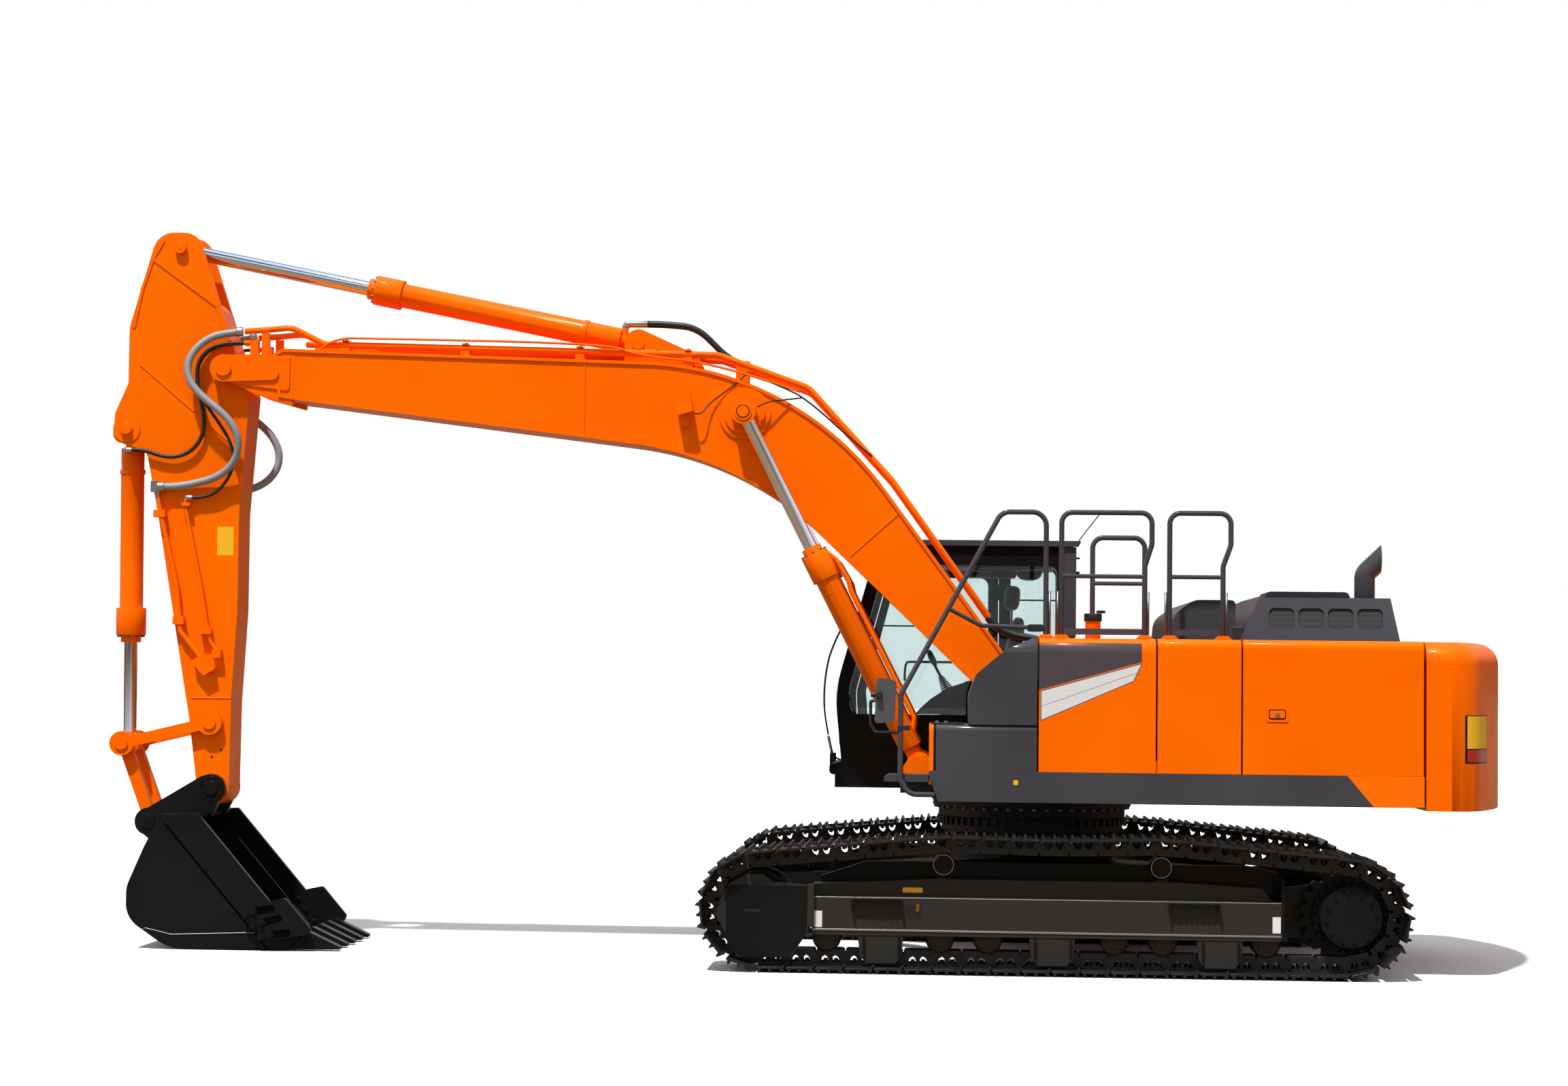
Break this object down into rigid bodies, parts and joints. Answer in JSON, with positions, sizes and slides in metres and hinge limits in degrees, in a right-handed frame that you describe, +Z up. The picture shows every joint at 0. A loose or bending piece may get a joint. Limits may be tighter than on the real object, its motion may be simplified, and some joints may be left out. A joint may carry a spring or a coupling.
{
  "type": "crawler excavator",
  "caption": "Crawler excavator with cab, one-piece boom, arm and bucket on hydraulic cylinders, steel tracks, and opening doors and hood.",
  "frame": {"origin": "middle of the machine's box, on the ground under it", "axes": "+Z up, machine faces -X, its left side is -Y"},
  "size_m": [9.5691, 3.19, 4.96],
  "materials": {
    "black_plastic": "moulded black plastic",
    "black_steel": "black enamel, satin",
    "cab_glass": "grey-green tinted safety glass",
    "chair_fabric": "dark woven cloth",
    "chrome_rod": "polished hard chrome",
    "grey_cover": "dark grey enamel, satin",
    "grey_iron": "bare machined and cast iron",
    "hose_rubber": "black and grey hose rubber under a wound guard",
    "orange_paint": "bright orange machine enamel, semi-gloss",
    "steel_pin": "turned steel",
    "track_steel": "black painted forged steel, worn"
  },
  "bodies": {
    "undercarriage": {"centre_frame": "black_steel", "swing_gear": "grey_iron", "track_left": "track_steel", "track_right": "track_steel", "track_frame_left": "black_steel", "track_frame_right": "black_steel", "idlers": "black_steel", "sprockets": "black_steel", "travel_motors": "black_steel", "lower_rollers": "black_steel", "carrier_rollers": "black_steel"},
    "house": {"swing_ring": "grey_iron", "revolving_frame": "orange_paint", "side_skirts": "grey_cover", "storage_box": "grey_cover", "tank_cover": "grey_cover", "tank": "orange_paint", "side_panels": "orange_paint", "deck_plate": "grey_cover", "counterweight": "orange_paint", "cooler_hood": "grey_cover", "engine_block": "grey_iron", "radiator": "black_plastic", "oil_filler": "orange_paint", "handrails": "grey_cover", "mirror": "black_plastic", "front_step": "grey_cover", "cab_shell": "grey_cover", "cab_glass": "cab_glass", "operator_chair": "chair_fabric", "controls": "black_plastic", "boom_foot_pin": "steel_pin", "boom_foot_hoses": "hose_rubber"},
    "hood": {"engine_hood": "grey_cover", "exhaust": "grey_iron"},
    "side_door": {"pump_door": "orange_paint"},
    "cooler_door": {"radiator_door": "orange_paint"},
    "cab_door": {"cab_door": "grey_cover", "cab_door_glass": "cab_glass"},
    "boom": {"boom": "orange_paint", "boom_pipes": "orange_paint", "arm_pivot_pin": "steel_pin", "work_lamp": "orange_paint", "arm_cylinder_hoses": "hose_rubber"},
    "boom_barrels": {"boom_cylinder_barrels": "orange_paint"},
    "boom_rods": {"boom_cylinder_rods": "chrome_rod"},
    "arm_barrel": {"arm_cylinder_barrel": "orange_paint"},
    "arm_rod": {"arm_cylinder_rod": "chrome_rod"},
    "arm": {"arm": "orange_paint", "arm_pipes": "orange_paint", "arm_hoses_left": "hose_rubber", "arm_hoses_right": "hose_rubber", "bucket_cylinder_hose": "hose_rubber"},
    "bucket_barrel": {"bucket_cylinder_barrel": "orange_paint"},
    "bucket_rod": {"bucket_cylinder_rod": "chrome_rod"},
    "guide_links": {"guide_links": "orange_paint"},
    "bucket_link": {"bucket_link": "orange_paint"},
    "bucket": {"bucket": "black_steel", "bucket_pin": "steel_pin", "bucket_teeth": "black_steel"}
  },
  "joints": [
    {"name": "swing", "type": "hinge", "parent": "undercarriage", "child": "house", "pos_m": [1.64673, 0, 0.86], "axis": [0, 0, 1], "continuous": true},
    {"name": "boom_lift", "type": "hinge", "parent": "house", "child": "boom", "pos_m": [1.61373, 0, 1.709], "axis": [0, 1, 0], "range_deg": [-66, 48], "deforming": ["boom_foot_hoses"]},
    {"name": "arm_swing", "type": "hinge", "parent": "boom", "child": "arm", "pos_m": [-3.98927, 0, 4], "axis": [0, -1, 0], "range_deg": [-76, 33], "deforming": ["arm_hoses_left", "arm_hoses_right", "bucket_cylinder_hose"]},
    {"name": "bucket_curl", "type": "hinge", "parent": "arm", "child": "bucket", "pos_m": [-4.03327, 0, 1.08], "axis": [0, -1, 0], "range_deg": [-74, 90]},
    {"name": "cab_door_hinge", "type": "hinge", "parent": "house", "child": "cab_door", "pos_m": [1.43373, 1.461, 2], "axis": [0, 0, -1], "range_deg": [0, 165]},
    {"name": "side_door_hinge", "type": "hinge", "parent": "house", "child": "side_door", "pos_m": [4.11073, -1.449, 1.7], "axis": [0, 0, 1], "range_deg": [0, 110]},
    {"name": "cooler_door_hinge", "type": "hinge", "parent": "house", "child": "cooler_door", "pos_m": [2.94873, 1.449, 1.7], "axis": [0, 0, -1], "range_deg": [0, 110]},
    {"name": "hood_hinge", "type": "hinge", "parent": "house", "child": "hood", "pos_m": [4.00173, 0, 2.175], "axis": [0, 1, 0], "range_deg": [0, 60]},
    {"name": "boom_barrel_tilt", "type": "hinge", "parent": "house", "child": "boom_barrels", "pos_m": [0.87173, 0, 1.311], "axis": [0, 1, 0], "range_deg": [-68.74, 50.02]},
    {"name": "boom_rod_slide", "type": "slide", "parent": "boom_barrels", "child": "boom_rods", "axis": [-0.4548, 0, 0.8906], "range_m": [-0.80926, 0.5891]},
    {"name": "arm_barrel_tilt", "type": "hinge", "parent": "boom", "child": "arm_barrel", "pos_m": [-1.11327, 0, 4.21], "axis": [0, 1, 0], "range_deg": [-2.25, 5.04], "deforming": ["arm_cylinder_hoses"]},
    {"name": "arm_rod_slide", "type": "slide", "parent": "arm_barrel", "child": "arm_rod", "axis": [-0.9807, 0, 0.1958], "range_m": [-1.0869, 0.47308]},
    {"name": "bucket_barrel_tilt", "type": "hinge", "parent": "arm", "child": "bucket_barrel", "pos_m": [-4.68827, 0, 3.578], "axis": [0, 1, 0], "range_deg": [-3.25, 2.69]},
    {"name": "bucket_rod_slide", "type": "slide", "parent": "bucket_barrel", "child": "bucket_rod", "axis": [0.0091, 0, -1], "range_m": [-0.51281, 0.62325]},
    {"name": "guide_link_swing", "type": "hinge", "parent": "arm", "child": "guide_links", "pos_m": [-4.05327, 0, 1.535], "axis": [0, -1, 0], "range_deg": [-49.31, 59.95]},
    {"name": "bucket_link_swing", "type": "hinge", "parent": "bucket", "child": "bucket_link", "pos_m": [-4.46827, 0, 0.847], "axis": [0, -1, 0], "range_deg": [-63.1, 51.9]}
  ],
  "couplings": [
    {"joint": "boom_barrel_tilt", "follows": "boom_lift", "ratio": 1.04},
    {"joint": "boom_rod_slide", "follows": "boom_lift", "m_per_rad": 0.7008},
    {"joint": "arm_barrel_tilt", "follows": "arm_swing", "ratio": -0.065},
    {"joint": "arm_rod_slide", "follows": "arm_swing", "m_per_rad": 0.8179},
    {"joint": "bucket_barrel_tilt", "follows": "bucket_curl", "ratio": -0.035},
    {"joint": "bucket_rod_slide", "follows": "bucket_curl", "m_per_rad": 0.3955},
    {"joint": "guide_link_swing", "follows": "bucket_curl", "ratio": 0.665},
    {"joint": "bucket_link_swing", "follows": "bucket_curl", "ratio": -0.7}
  ]
}
